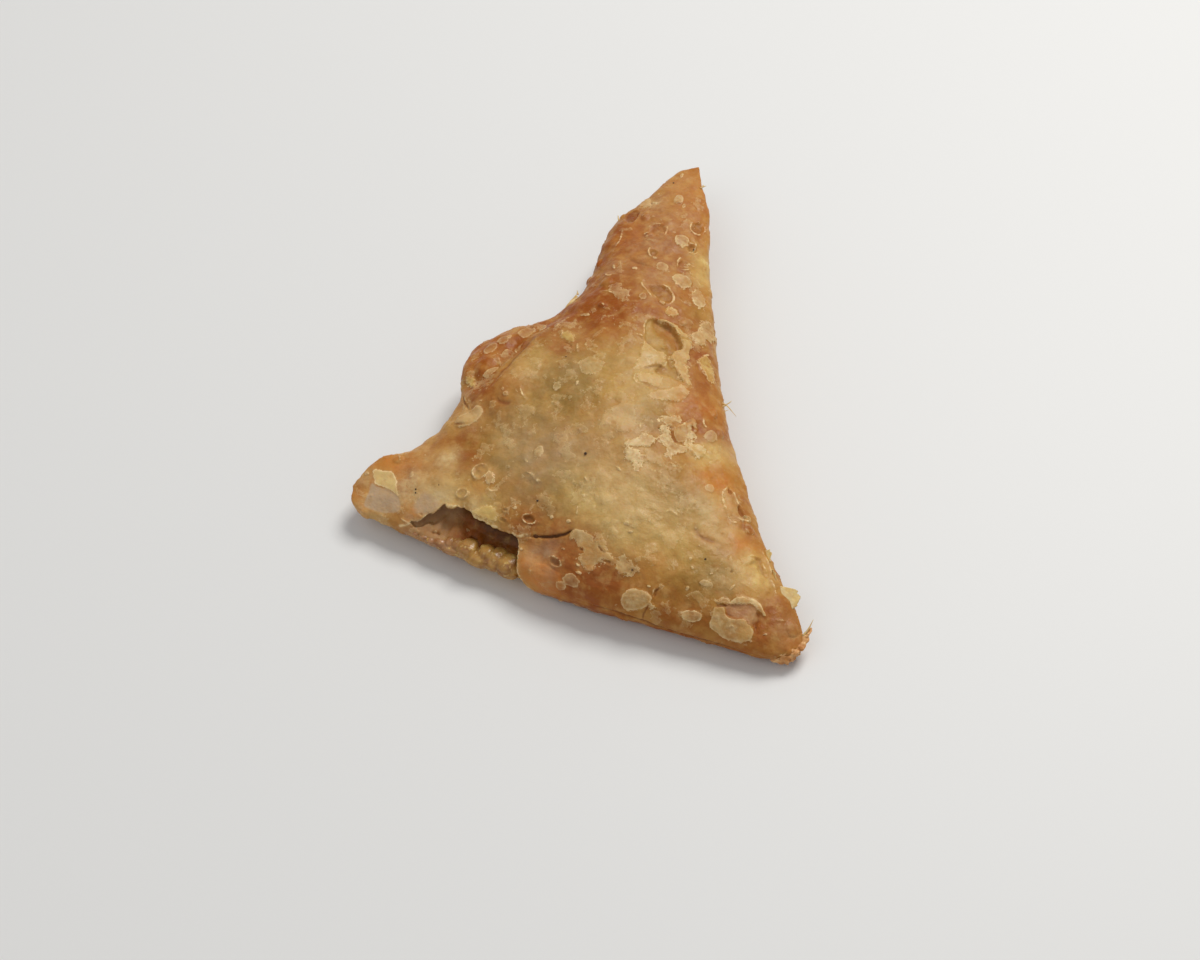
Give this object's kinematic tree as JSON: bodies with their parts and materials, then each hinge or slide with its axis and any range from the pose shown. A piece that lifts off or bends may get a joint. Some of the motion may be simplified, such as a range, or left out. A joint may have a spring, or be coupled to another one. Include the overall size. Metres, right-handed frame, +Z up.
{
  "type": "samosa",
  "caption": "Deep-fried samosa: a flattish three-cornered packet of folded thin pastry, its front fold gaping on one side and closed by a folded-down flap on the other.",
  "frame": {"origin": "centre of the outline seen from above, at the level of the flat underside", "axes": "+X along the front fold from the left tip to the right corner, +Y back towards the long apex, +Z up"},
  "size_m": [0.1194, 0.1396, 0.0236],
  "materials": {
    "fried_pastry": "blistered and slightly oily"
  },
  "bodies": {
    "root": {"samosa": "fried_pastry"}
  },
  "joints": []
}
